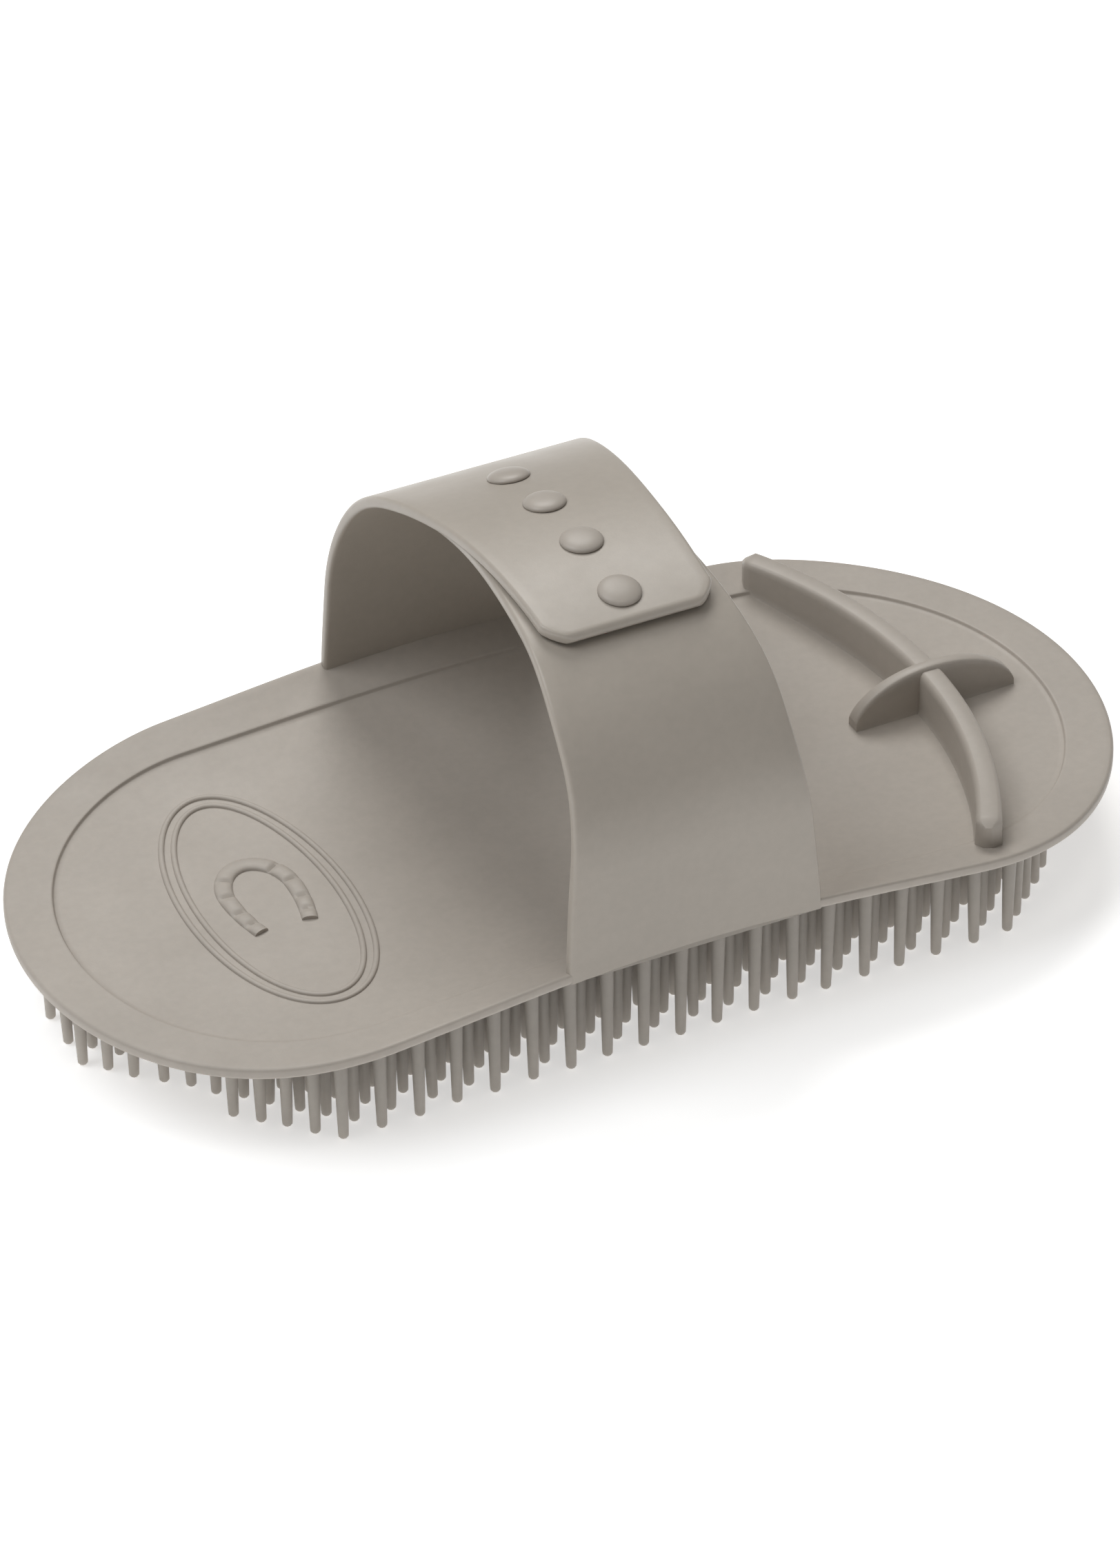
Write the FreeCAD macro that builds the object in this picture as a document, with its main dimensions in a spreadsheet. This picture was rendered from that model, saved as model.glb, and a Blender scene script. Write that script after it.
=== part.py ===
"""A soft plastic curry comb with a two-part hand strap.

Frame: the origin is the middle of the plane through the tooth tips. +X runs along the oval
deck, +Y across it from the peg half of the strap to the hole half, and +Z is up.
Lengths are in millimetres.
"""
import FreeCAD, Part
import math
import os
from FreeCAD import Vector

doc = FreeCAD.newDocument("curry_comb")

# ---- Driving dimensions -------------------------------------------------------------------

SIZES = (
    ("deck_length", 207, "oval deck, end to end"),
    ("deck_width", 105, "oval deck, across"),
    ("end_reach", 48, "length of each round end of the deck"),
    ("deck_thick", 2.2, "edge of the deck"),
    ("deck_top", 17.4, "top of the deck's middle above the tooth tips"),
    ("edge_lift", 8.9, "how far the strap curls the deck's long edges up"),
    ("lift_reach", 66, "how far along the deck the curl fades"),
    ("end_rise", 0.9, "how far the deck's two ends rise"),
    ("rim_width", 8.7, "rim around the sunken panel"),
    ("panel_drop", 0.6, "depth of the sunken panel"),
    ("strap_thick", 2.2, "both halves of the strap"),
    ("strap_width", 49, "strap where it leaves the deck"),
    ("strap_rise", 63.3, "crown of the strap above the middle of the deck"),
    ("crown_radius", 94, "gentle arc across the top"),
    ("crown_offset", 6.9, "the crown's summit lies this far to the peg side"),
    ("near_shoulder", 35, "shoulder radius of the peg half"),
    ("far_shoulder", 36, "shoulder radius of the hole half"),
    ("near_lean", 2.4, "degrees that the peg half's wall leans in"),
    ("far_lean", 3.3, "degrees that the hole half's wall leans in"),
    ("far_neck", 43.4, "width of the hole half at its shoulder"),
    ("far_waist", 35.2, "width of the hole half at the top"),
    ("tab_width", 32.4, "width of the hole half near its end"),
    ("tab_corner", 4.2, "clipped corners of the hole half's end"),
    ("near_neck", 41.4, "width of the peg half at its shoulder"),
    ("near_waist", 33.8, "width of the peg half at the top"),
    ("lap_gap", 0.3, "play between the two halves"),
    ("tab_reach", 30.1, "end of the hole half, past the middle"),
    ("leaf_reach", 27, "end of the peg half, past the middle"),
    ("peg_radius", 4, "pegs"),
    ("hole_radius", 4.6, "holes"),
    ("peg_pitch", 14.8, "peg to peg"),
    ("peg_shift", 1.2, "middle of the row of pegs, towards the peg side"),
    ("peg_stand", 1.2, "peg head above the hole half"),
    ("peg_bevel", 0.7, "bevelled edge of a peg's head"),
    ("tooth_pitch", 7.2, "tooth to tooth along a row"),
    ("row_pitch", 3.56, "row to row"),
    ("tooth_tip", 0.95, "radius of a tooth's tip"),
    ("tooth_root", 1.3, "radius of a tooth's root"),
    ("field_corner", 112.8, "the field of teeth stops where x and y add up to this"),
    ("field_end", 98, "the field of teeth stops here along the deck"),
    ("field_step", 30, "rows nearer the middle than this are a tooth shorter at each end"),
    ("rib_radius", 91.5, "curved rib, in plan"),
    ("rib_place", 73, "where the two ribs cross"),
    ("rib_thick", 4.8, "curved rib"),
    ("rib_height", 8.5, "curved rib above the middle of the deck"),
    ("spur_length", 33, "short rib, end to end"),
    ("spur_height", 9.3, "short rib above the middle of the deck"),
    ("spur_thick", 3, "short rib"),
    ("mark_place", 58, "middle of the oval mark, from the deck's middle"),
    ("mark_long", 33, "half length of the oval ring"),
    ("mark_short", 15.5, "half width of the oval ring"),
    ("mark_line", 2.2, "width of the ring's raised line"),
    ("mark_height", 0.5, "height of the raised lines"),
)

sheet = doc.addObject("Spreadsheet::Sheet", "sizes")
for line, (alias, value, note) in enumerate(SIZES, 1):
    sheet.set(f"A{line}", alias)
    sheet.set(f"B{line}", str(value))
    sheet.setAlias(f"B{line}", alias)
    sheet.set(f"C{line}", note)
doc.recompute()


def size(alias):
    """A driving dimension as a number."""
    return float(sheet.get(alias))


def bind(thing, **sizes):
    """Tie properties of an object to the sheet; a word is a formula over its cells."""
    for name, formula in sizes.items():
        for alias, _, _ in sorted(SIZES, key=lambda entry: -len(entry[0])):
            formula = formula.replace("@" + alias, "sizes." + alias)
        thing.setExpression(name, formula)


HALF_WIDTH = size("deck_width") / 2
HALF_LENGTH = size("deck_length") / 2
DECK_TOP = size("deck_top")
EMBED = 0.5            # how deep one moulded feature runs into the next
TEETH_AND_RIB = 0.89   # share of the half width that the teeth and the curved rib take up
SPARE = 6              # how far the curled faces run past the deck's edge
REACH = 200            # longer than the whole comb, for cutting tools

# ---- Helpers ------------------------------------------------------------------------------

PLANES = {"XY": "XY_Plane", "XZ": "XZ_Plane", "YZ": "YZ_Plane"}


def sketch_body(name, plane, edges, length):
    """A PartDesign body: a closed outline on an origin plane, padded evenly to both sides."""
    body = doc.addObject("PartDesign::Body", name)
    sketch = body.newObject("Sketcher::SketchObject", name + "_outline")
    for feature in body.Origin.OriginFeatures:
        if feature.Role == PLANES[plane]:
            sketch.AttachmentSupport = [(feature, "")]
    sketch.MapMode = "FlatFace"
    for edge in edges:
        sketch.addGeometry(edge)
    pad = body.newObject("PartDesign::Pad", name + "_pad")
    pad.Profile = sketch
    pad.SideType = "Symmetric"
    bind(pad, Length=length)
    return body


def outline(points):
    """Straight edges around a list of (x, y) points."""
    corners = [Vector(x, y, 0) for x, y in points]
    return [Part.LineSegment(a, b) for a, b in zip(corners, corners[1:] + corners[:1])]


def mirrored(points):
    """A closed outline from its right half, given as (half width, place) from end to end."""
    right = [(half, place) for half, place in points]
    left = [(-half, place) for half, place in reversed(points)]
    return right + left


def deck_outline(inset):
    """The deck's plan: straight sides and half-oval ends, moved in by inset."""
    across = HALF_WIDTH - inset
    reach = size("end_reach") - inset
    corner = HALF_LENGTH - size("end_reach")
    edges = []
    for side in (1, -1):
        centre = Vector(-side * corner, 0, 0)
        start = centre + Vector(0, side * across, 0)
        tip = centre + Vector(-side * reach, 0, 0)
        edges.append(Part.LineSegment(Vector(side * corner, side * across, 0), start))
        edges.append(Part.ArcOfEllipse(Part.Ellipse(start, tip, centre), 0, math.pi))
    return edges


def join(kind, name, base, tool):
    """Part::Cut or Part::Common of two objects."""
    result = doc.addObject(kind, name)
    result.Base = base
    result.Tool = tool
    return result


def fuse(name, pieces):
    """One solid from several objects."""
    result = doc.addObject("Part::MultiFuse", name)
    result.Shapes = pieces
    return result


def feature(name, shape):
    """A free-form piece whose shape is worked out in this file."""
    thing = doc.addObject("Part::Feature", name)
    thing.Shape = shape
    thing.Placement = FreeCAD.Placement()
    return thing


# ---- The curled deck ----------------------------------------------------------------------


def lift(x, y):
    """How far the strap has pulled the deck up at a point of its plan."""
    across = (abs(y) / HALF_WIDTH) ** 3
    along = math.exp(-(x / size("lift_reach")) ** 2)
    return size("edge_lift") * across * along + size("end_rise") * (x / HALF_LENGTH) ** 2


def curled_face(level):
    """A face, wider than the deck, that follows its curl at a height above the tips."""
    steps = [k / 10 for k in range(-10, 11)]
    columns = [(HALF_LENGTH + SPARE) * k for k in steps]
    rows = [(HALF_WIDTH + SPARE) * k for k in steps]
    grid = [[Vector(x, y, level + lift(x, y)) for y in rows] for x in columns]
    surface = Part.BSplineSurface()
    surface.interpolate(grid)
    return surface.toShape()


def curled_slab(bottom, thick):
    """A curled sheet, thick upwards from bottom; a negative thickness goes down."""
    return curled_face(bottom).extrude(Vector(0, 0, thick))


panel_top = DECK_TOP - size("panel_drop")
deck_bottom = DECK_TOP - size("deck_thick")

slab = feature("deck_slab", curled_slab(deck_bottom, size("deck_thick")))
slab_above_panel = feature("slab_above_panel", curled_slab(panel_top, REACH / 4))
slab_below_panel = feature("slab_below_panel", curled_slab(panel_top, -REACH / 4))
slab_below_deck = feature("slab_below_deck", curled_slab(deck_bottom, -REACH / 4))
slab_of_marks = feature("slab_of_marks", curled_slab(panel_top, size("mark_height")))

deck_plan = sketch_body("deck_plan", "XY", deck_outline(0), "@deck_top * 8")
panel_plan = sketch_body("panel_plan", "XY", deck_outline(size("rim_width")), "@deck_top * 8")
deck_plate = join("Part::Common", "deck_plate", slab, deck_plan)
panel_pocket = join("Part::Common", "panel_pocket", slab_above_panel, panel_plan)
deck_sunk = join("Part::Cut", "deck_sunk", deck_plate, panel_pocket)

# ---- The strap's side view, in the plane across the deck -----------------------------------


class Shoulder:
    """An arc that joins a strap wall to the crown, with its centre in the Y, Z plane."""

    def __init__(self, foot, lean, radius, crown, crown_radius):
        """foot is the wall's outer foot and lean its angle; positive y is the far side."""
        side = 1 if foot.x > 0 else -1
        along = Vector(-side * math.sin(lean), math.cos(lean), 0)
        inward = Vector(-side * math.cos(lean), -math.sin(lean), 0)
        start = foot + inward * radius
        offset = start - crown
        gap = crown_radius - radius
        middle = offset.dot(along)
        climb = -middle + math.sqrt(middle ** 2 - offset.dot(offset) + gap ** 2)
        self.centre = start + along * climb
        self.radius = radius
        self.foot = foot
        self.inward = inward
        self.wall_top = self.centre - inward * radius
        self.start_angle = math.atan2(-inward.y, -inward.x) % (2 * math.pi)
        upward = self.centre - crown
        self.end_angle = math.atan2(upward.y, upward.x)

    def point(self, angle, depth):
        """A point of the arc, depth under its outer face."""
        reach = self.radius - depth
        return self.centre + Vector(math.cos(angle), math.sin(angle), 0) * reach


def arc(centre, radius, start, end):
    """An arc edge about a centre, and its two ends, in the order given."""
    def spot(angle):
        return centre + Vector(math.cos(angle), math.sin(angle), 0) * radius
    return Part.Arc(spot(start), spot((start + end) / 2), spot(end))


def ends(edge):
    """The start and end points of an edge, in drawing order."""
    return edge.StartPoint, edge.EndPoint


def closed(chain):
    """The edges of a chain with straight lines over each gap between them."""
    result = []
    for this, following in zip(chain, chain[1:] + chain[:1]):
        result.append(this)
        tail = ends(this)[1]
        head = ends(following)[0]
        if (tail - head).Length > 1e-6:
            result.append(Part.LineSegment(tail, head))
    return result


THICK = size("strap_thick")
CROWN = Vector(-size("crown_offset"), DECK_TOP + size("strap_rise") - size("crown_radius"), 0)
OUTER = size("crown_radius")
LEAF_OUTER = OUTER - THICK - size("lap_gap")
FOOT_LEVEL = DECK_TOP + 4                      # below the deck's curled edge
FOOT_PLACE = HALF_WIDTH + 0.1                  # the strap just covers the deck's edge
FLAP_ANGLE = math.radians(64)                  # where the hole half starts to move
LEAF_ANGLE = math.radians(112)                 # where the peg half's top starts

far = Shoulder(Vector(FOOT_PLACE, FOOT_LEVEL, 0), math.radians(size("far_lean")),
               size("far_shoulder"), CROWN, OUTER)
near = Shoulder(Vector(-FOOT_PLACE, FOOT_LEVEL, 0), math.radians(size("near_lean")),
                size("near_shoulder"), CROWN, LEAF_OUTER)


def crown_angle(place, radius):
    """The angle about the crown's centre at a place across the deck."""
    return math.acos((place - CROWN.x) / radius)


def wall_and_arc(shoulder, stop):
    """The outline of a wall and its shoulder, up to the angle stop."""
    up = Part.LineSegment(shoulder.foot, shoulder.wall_top)
    over = arc(shoulder.centre, shoulder.radius, shoulder.start_angle, stop)
    back = arc(shoulder.centre, shoulder.radius - THICK, stop, shoulder.start_angle)
    down = Part.LineSegment(shoulder.wall_top + shoulder.inward * THICK,
                            shoulder.foot + shoulder.inward * THICK)
    return closed([up, over, back, down])


far_wall_side = wall_and_arc(far, FLAP_ANGLE)
near_wall_side = wall_and_arc(near, LEAF_ANGLE)

# the hole half's free part: the rest of its shoulder, then the crown to the end of the tab
split_gap = size("lap_gap") / size("far_shoulder")
flap_start = FLAP_ANGLE + split_gap
tab_end = crown_angle(-size("tab_reach"), OUTER)
flap_side = closed([
    arc(far.centre, far.radius, flap_start, far.end_angle),
    arc(CROWN, OUTER, far.end_angle, tab_end),
    arc(CROWN, OUTER - THICK, tab_end, far.end_angle),
    arc(far.centre, far.radius - THICK, far.end_angle, flap_start),
])

# the peg half's top: the rest of its shoulder, then the part under the hole half
leaf_end = crown_angle(size("leaf_reach"), LEAF_OUTER)
leaf_side = closed([
    arc(near.centre, near.radius, LEAF_ANGLE, near.end_angle),
    arc(CROWN, LEAF_OUTER, near.end_angle, leaf_end),
    arc(CROWN, LEAF_OUTER - THICK, leaf_end, near.end_angle),
    arc(near.centre, near.radius - THICK, near.end_angle, LEAF_ANGLE),
])

# ---- The strap's widths --------------------------------------------------------------------

base_half = size("strap_width") / 2
far_neck = size("far_neck") / 2
near_neck = size("near_neck") / 2
near_waist = size("near_waist") / 2
tab_half = size("tab_width") / 2
SPARE_WIDTH = 1                                # a trimming outline beyond the strap
MIDWAY = 45                                    # level where the walls' sides change slope
FAR_MIDWAY = 23.4                              # half widths at that level
NEAR_MIDWAY = 22.9
FAR_NECK_LEVEL = 63.4                          # levels where the shoulders are narrowest
NEAR_NECK_LEVEL = 60
FAR_NECK_PLACE = 36                            # places across the deck of the same necks
NEAR_NECK_PLACE = 33
FAR_WIDE_PLACE = 46                            # beyond here the side outlines stay clear
NEAR_WIDE_PLACE = 47
NEAR_EASE_PLACE = 38                           # the peg half's neck starts to narrow here
NEAR_EASE = 1.5                                # by this much on each side
TIP_EASE = 0.5                                 # and its end is this much narrower
OVER_TIP = 3                                   # beyond the peg half's end
OVER_TOP = 100                                 # above the whole comb
PAST_EDGE = 60                                 # beyond the deck's long edges


def front_view(midway_half, neck_half, neck_level):
    """A half's outline seen along the deck: wide at the foot, narrower to the shoulder."""
    return mirrored([(base_half + 0.1, 0), (base_half, FOOT_LEVEL), (midway_half, MIDWAY),
                     (neck_half, neck_level), (neck_half, OVER_TOP)])


far_front = front_view(FAR_MIDWAY, far_neck, FAR_NECK_LEVEL)
near_front = front_view(NEAR_MIDWAY, near_neck, NEAR_NECK_LEVEL)
clear_half = base_half + SPARE_WIDTH
far_plan = mirrored([
    (tab_half - size("tab_corner"), -size("tab_reach") - TIP_EASE),
    (tab_half, size("tab_corner") - size("tab_reach")),
    (size("far_waist") / 2, 0),
    (far_neck, FAR_NECK_PLACE),
    (clear_half, FAR_WIDE_PLACE),
    (clear_half, PAST_EDGE)])
near_plan = mirrored([
    (clear_half, -PAST_EDGE),
    (clear_half, -NEAR_WIDE_PLACE),
    (near_neck, -NEAR_EASE_PLACE),
    (near_neck - NEAR_EASE, -NEAR_NECK_PLACE),
    (near_waist, 0),
    (near_waist - TIP_EASE, size("leaf_reach") + OVER_TIP)])

far_front_body = sketch_body("hole_half_front", "XZ", outline(far_front), "@deck_width * 1.5")
near_front_body = sketch_body("peg_half_front", "XZ", outline(near_front), "@deck_width * 1.5")
far_plan_body = sketch_body("hole_half_plan", "XY", outline(far_plan), "@deck_top * 12")
near_plan_body = sketch_body("peg_half_plan", "XY", outline(near_plan), "@deck_top * 12")


def strap_piece(name, side, front, plan):
    """A strap piece: its side view padded along X, then trimmed to its widths."""
    band = sketch_body(name + "_band", "YZ", side, "@strap_width + 4")
    trimmed = join("Part::Common", name + "_trimmed", band, front)
    return join("Part::Common", name + "_shape", trimmed, plan)


NODES = {}

far_whole = strap_piece("far_whole", far_wall_side, far_front_body, far_plan_body)
near_whole = strap_piece("near_whole", near_wall_side, near_front_body, near_plan_body)
NODES["far_wall"] = join("Part::Cut", "far_wall", far_whole, slab_below_deck)
NODES["near_wall"] = join("Part::Cut", "near_wall", near_whole, slab_below_deck)

deck_notched = join("Part::Cut", "deck_notched", deck_sunk, NODES["far_wall"])
NODES["deck"] = join("Part::Cut", "deck", deck_notched, NODES["near_wall"])

NODES["near_leaf"] = strap_piece("near_leaf", leaf_side, near_front_body, near_plan_body)

# ---- Holes and pegs ------------------------------------------------------------------------

peg_middle = -size("peg_shift")
peg_places = [peg_middle + size("peg_pitch") * step for step in (1.5, 0.5, -0.5, -1.5)]
cutters = []
for number, place in enumerate(peg_places, 1):
    cutter = doc.addObject("Part::Cylinder", f"hole_{number}")
    bind(cutter, Radius="@hole_radius", Height="@deck_top * 6")
    cutter.Placement.Base = Vector(0, place, 0)
    cutters.append(cutter)
holes = fuse("holes", cutters)
flap_whole = strap_piece("flap_whole", flap_side, far_front_body, far_plan_body)
NODES["hole_flap"] = join("Part::Cut", "hole_flap", flap_whole, holes)


def crown_level(place, radius):
    """The height of the crown's arc of a radius at a place across the deck."""
    return CROWN.y + math.sqrt(radius ** 2 - (place - CROWN.x) ** 2)


PEG_SINK = 1.1                                 # how far a peg runs into the peg half
for number, place in enumerate(peg_places, 1):
    foot = crown_level(place, LEAF_OUTER) - PEG_SINK
    head = crown_level(place, OUTER) + size("peg_stand")
    shank = doc.addObject("Part::Cylinder", f"peg_{number}_shank")
    bind(shank, Radius="@peg_radius")
    shank.Height = head - size("peg_bevel") - foot
    shank.Placement.Base = Vector(0, place, foot)
    bevel = doc.addObject("Part::Cone", f"peg_{number}_bevel")
    bind(bevel, Radius1="@peg_radius", Radius2="@peg_radius * 0.7", Height="@peg_bevel")
    bevel.Placement.Base = Vector(0, place, head - size("peg_bevel"))
    NODES[f"peg_{number}"] = fuse(f"peg_{number}", [shank, bevel])

# ---- The crossed ribs ----------------------------------------------------------------------

rib_centre = size("rib_place") - size("rib_radius")
rib_swing = math.degrees(math.asin(TEETH_AND_RIB * HALF_WIDTH / size("rib_radius")))


def rib_cylinder(name, radius):
    """A sector of a cylinder, from below the deck to the rib's top."""
    sector = doc.addObject("Part::Cylinder", name)
    bind(sector, Radius=radius, Height="@rib_height + @deck_thick * 2")
    sector.Angle = 2 * rib_swing
    foot = Vector(rib_centre, 0, DECK_TOP - 2 * size("deck_thick"))
    sector.Placement = FreeCAD.Placement(foot,
                                         FreeCAD.Rotation(Vector(0, 0, 1), -rib_swing))
    return sector


rib_sector = join("Part::Cut", "rib_sector",
                  rib_cylinder("rib_outside", "@rib_radius + @rib_thick / 2"),
                  rib_cylinder("rib_inside", "@rib_radius - @rib_thick / 2"))
rib_on_panel = join("Part::Cut", "rib_on_panel", rib_sector, slab_below_panel)
NODES["rib_curved"] = join("Part::Cut", "rib_curved", rib_on_panel, NODES["deck"])

spur_half = size("spur_length") / 2
spur_rise = size("spur_height")
spur_middle = size("rib_place") + 1


def spur(name, side):
    """One arm of the short rib: a quarter of an arch, from the curved rib outwards."""
    inner = size("rib_place") + side * size("rib_thick") / 2
    outer = spur_middle + side * spur_half
    arch = Part.Ellipse(Vector(spur_middle, DECK_TOP, 0), spur_half, spur_rise)
    angle = math.acos((inner - spur_middle) / spur_half)
    low, high = sorted((angle, 0 if side > 0 else math.pi))
    curve = Part.ArcOfEllipse(arch, low, high)
    level = DECK_TOP - size("deck_thick")
    top = curve.value(angle)
    tip = Vector(outer, DECK_TOP, 0)
    under_tip = Vector(outer, level, 0)
    under_rib = Vector(inner, level, 0)
    edges = [curve, Part.LineSegment(tip, under_tip), Part.LineSegment(under_tip, under_rib),
             Part.LineSegment(under_rib, top)]
    body = sketch_body(name + "_arch", "XZ", edges, "@spur_thick")
    on_panel = join("Part::Cut", name + "_on_panel", body, slab_below_panel)
    clear = join("Part::Cut", name + "_clear", on_panel, NODES["deck"])
    return join("Part::Cut", name, clear, NODES["rib_curved"])


NODES["rib_spur_inner"] = spur("rib_spur_inner", -1)
NODES["rib_spur_outer"] = spur("rib_spur_outer", 1)

# ---- The plain oval mark -------------------------------------------------------------------


def tall_prism(wire_edges):
    """A face from closed edges, pushed up through the deck."""
    face = Part.Face(Part.Wire(Part.__sortEdges__([edge.toShape() for edge in wire_edges])))
    return face.extrude(Vector(0, 0, REACH))


def oval(half_long, half_short):
    """A tall oval prism over the mark's middle, its long axis across the deck."""
    middle = Vector(-size("mark_place"), 0, 0)
    ellipse = Part.Ellipse(middle + Vector(0, half_long, 0), middle + Vector(-half_short, 0, 0), middle)
    return tall_prism([ellipse])


line_width = size("mark_line")
oval_band = feature("oval_band", oval(size("mark_long"), size("mark_short")).cut(
    oval(size("mark_long") - line_width, size("mark_short") - line_width)))
NODES["mark_ring"] = join("Part::Common", "mark_ring", oval_band, slab_of_marks)


def horseshoe(radius, width, leg):
    """A U of raised line, open towards the near side."""
    x, y = -size("mark_place"), 2.0

    def bow(reach):
        left, right = Vector(x - reach, y, 0), Vector(x + reach, y, 0)
        return Part.Arc(left, Vector(x, y + reach * 1.15, 0), right)
    toe = leg * 0.93
    outer_leg, inner_leg = radius * 0.82, (radius - width) * 0.78
    edges = [
        bow(radius), Part.LineSegment(Vector(x + radius, y, 0), Vector(x + outer_leg, y - leg, 0)),
        Part.LineSegment(Vector(x + outer_leg, y - leg, 0), Vector(x + inner_leg, y - toe, 0)),
        Part.LineSegment(Vector(x + inner_leg, y - toe, 0), Vector(x + radius - width, y, 0)),
        bow(radius - width),
        Part.LineSegment(Vector(x - radius + width, y, 0), Vector(x - inner_leg, y - toe, 0)),
        Part.LineSegment(Vector(x - inner_leg, y - toe, 0), Vector(x - outer_leg, y - leg, 0)),
        Part.LineSegment(Vector(x - outer_leg, y - leg, 0), Vector(x - radius, y, 0)),
    ]
    return tall_prism(edges)


shoe = feature("shoe_prism", horseshoe(8.6, 3.0, 10.5))
NODES["mark_horseshoe"] = join("Part::Common", "mark_horseshoe", shoe, slab_of_marks)

# ---- Teeth ---------------------------------------------------------------------------------


def tooth(x, y):
    """A tapered tooth from the tip plane up into the deck's underside."""
    height = deck_bottom + lift(x, y) + EMBED
    return Part.makeCone(size("tooth_tip"), size("tooth_root"), height, Vector(x, y, 0))


row_reach = int(TEETH_AND_RIB * HALF_WIDTH / size("row_pitch"))
for row in range(-row_reach, row_reach + 1):
    y = row * size("row_pitch")
    stagger = 0 if row % 2 else 0.5
    step_in = size("tooth_pitch") if abs(y) < size("field_step") else 0
    limit = min(size("field_corner") - abs(y) - step_in, size("field_end"))
    places = [(step + stagger) * size("tooth_pitch") for step in range(-15, 15)]
    cones = [tooth(x, y) for x in places if abs(x) <= limit]
    name = f"teeth_row_{row + row_reach + 1:02d}"
    NODES[name] = feature(name, Part.makeCompound(cones))

# ---- Checks and export ---------------------------------------------------------------------

doc.recompute()
for thing in doc.Objects:
    if "Invalid" in thing.State or "Error" in thing.State:
        raise RuntimeError(f"{thing.Name} failed: {thing.State}")

os.makedirs("parts", exist_ok=True)
for node, piece in NODES.items():
    piece.Label = node
    shape = piece.Shape
    if shape.isNull() or not shape.isValid() or shape.Volume <= 0:
        raise RuntimeError(f"{node} has no valid solid")
    shape.exportStep(f"parts/{node}.step")
    box = shape.BoundBox
    print(f"{node}: {len(shape.Solids)} solids, {shape.Volume:.0f} mm3, "
          f"x {box.XMin:.1f} to {box.XMax:.1f}, y {box.YMin:.1f} to {box.YMax:.1f}, "
          f"z {box.ZMin:.1f} to {box.ZMax:.1f}")
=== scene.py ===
# %% [markdown]
# # A soft plastic curry comb
#
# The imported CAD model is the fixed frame: it says how large the comb is, where its pieces
# are and which of them move. This script gives every piece its finished look. The comb is one
# moulding in one colour, so most of the work is in its surfaces: rounded edges, the sunken
# panel's soft step, the bent strap, and several hundred slim teeth.
#
# Lengths are in metres. X runs along the deck, Y across it and Z is up, with the origin
# in the middle of the plane through the tooth tips.

# %%
import math

import bpy
import numpy as np
from mathutils import Matrix, Vector


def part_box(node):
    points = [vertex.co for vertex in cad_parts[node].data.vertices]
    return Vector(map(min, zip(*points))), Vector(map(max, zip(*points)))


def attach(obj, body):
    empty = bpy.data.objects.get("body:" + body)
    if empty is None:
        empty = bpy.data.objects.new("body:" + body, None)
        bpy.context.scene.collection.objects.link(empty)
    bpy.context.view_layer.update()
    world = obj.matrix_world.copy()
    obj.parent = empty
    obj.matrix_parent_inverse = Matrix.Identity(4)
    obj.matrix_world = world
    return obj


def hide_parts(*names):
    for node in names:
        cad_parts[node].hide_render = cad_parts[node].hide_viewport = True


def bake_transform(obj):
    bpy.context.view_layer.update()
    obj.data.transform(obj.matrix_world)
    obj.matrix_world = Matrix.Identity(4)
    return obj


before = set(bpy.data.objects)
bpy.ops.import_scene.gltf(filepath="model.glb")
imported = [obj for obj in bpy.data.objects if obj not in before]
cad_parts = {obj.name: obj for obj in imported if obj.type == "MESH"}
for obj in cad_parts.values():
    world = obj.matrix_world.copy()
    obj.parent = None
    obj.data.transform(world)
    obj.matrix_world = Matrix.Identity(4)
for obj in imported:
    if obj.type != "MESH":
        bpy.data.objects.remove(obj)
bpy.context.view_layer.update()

MM = 0.001

# %% [markdown]
# ## Sizes
#
# The frame gives the boxes of the CAD pieces. The curl of the deck and the arcs of the strap
# have no box of their own, so the few numbers that shape them are named here.

# %%
deck_low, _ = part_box("deck")
flap_low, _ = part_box("hole_flap")
_, leaf_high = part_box("near_leaf")

HALF_LENGTH = 103.5 * MM
HALF_WIDTH = 52.5 * MM
DECK_BOTTOM = deck_low.z
DECK_THICK = 2.2 * MM
DECK_TOP = DECK_BOTTOM + DECK_THICK
EDGE_LIFT = 8.9 * MM               # how far the strap curls the long edges up
LIFT_REACH = 66 * MM               # how far along the deck the curl fades
END_REACH = 48 * MM                # length of each round end
END_RISE = 0.9 * MM                # how far the two ends rise
RIM_WIDTH = 8.7 * MM               # rim round the sunken panel
PANEL_DROP = 0.6 * MM
PANEL_TOP = DECK_TOP - PANEL_DROP

STRAP_THICK = 2.2 * MM
STRAP_RISE = 63.3 * MM             # top of the strap above the deck's middle
CROWN_RADIUS = 94 * MM             # the gentle arc across the top, and its centre
CROWN_Y = -6.9 * MM
CROWN_Z = DECK_TOP + STRAP_RISE - CROWN_RADIUS
LAP_GAP = 0.3 * MM                 # play between the strap's two halves


def lift(x, y):
    """How far the deck is curled up at each point of its plan.

    The cube of the share across the deck, fading along it as a bell curve, plus the square
    of the share along the deck for its slightly raised ends.
    """
    curl = EDGE_LIFT * (np.abs(y) / HALF_WIDTH) ** 3 * np.exp(-(x / LIFT_REACH) ** 2)
    return curl + END_RISE * (x / HALF_LENGTH) ** 2


print("deck's edge is curled up by, mm:", round(float(lift(0.0, HALF_WIDTH)) / MM, 1))

# %% [markdown]
# ## Mesh helpers
#
# Every surface here is a grid: rings of points, one after the other, joined by
# four-sided faces. The point arrays are worked out for the whole grid at once, and the faces
# follow from the grid's two counts, so no piece needs a loop over its vertices. The same
# shapes could be pushed and pulled by hand in edit mode, but then a change of one size would
# mean doing it all again.


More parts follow.
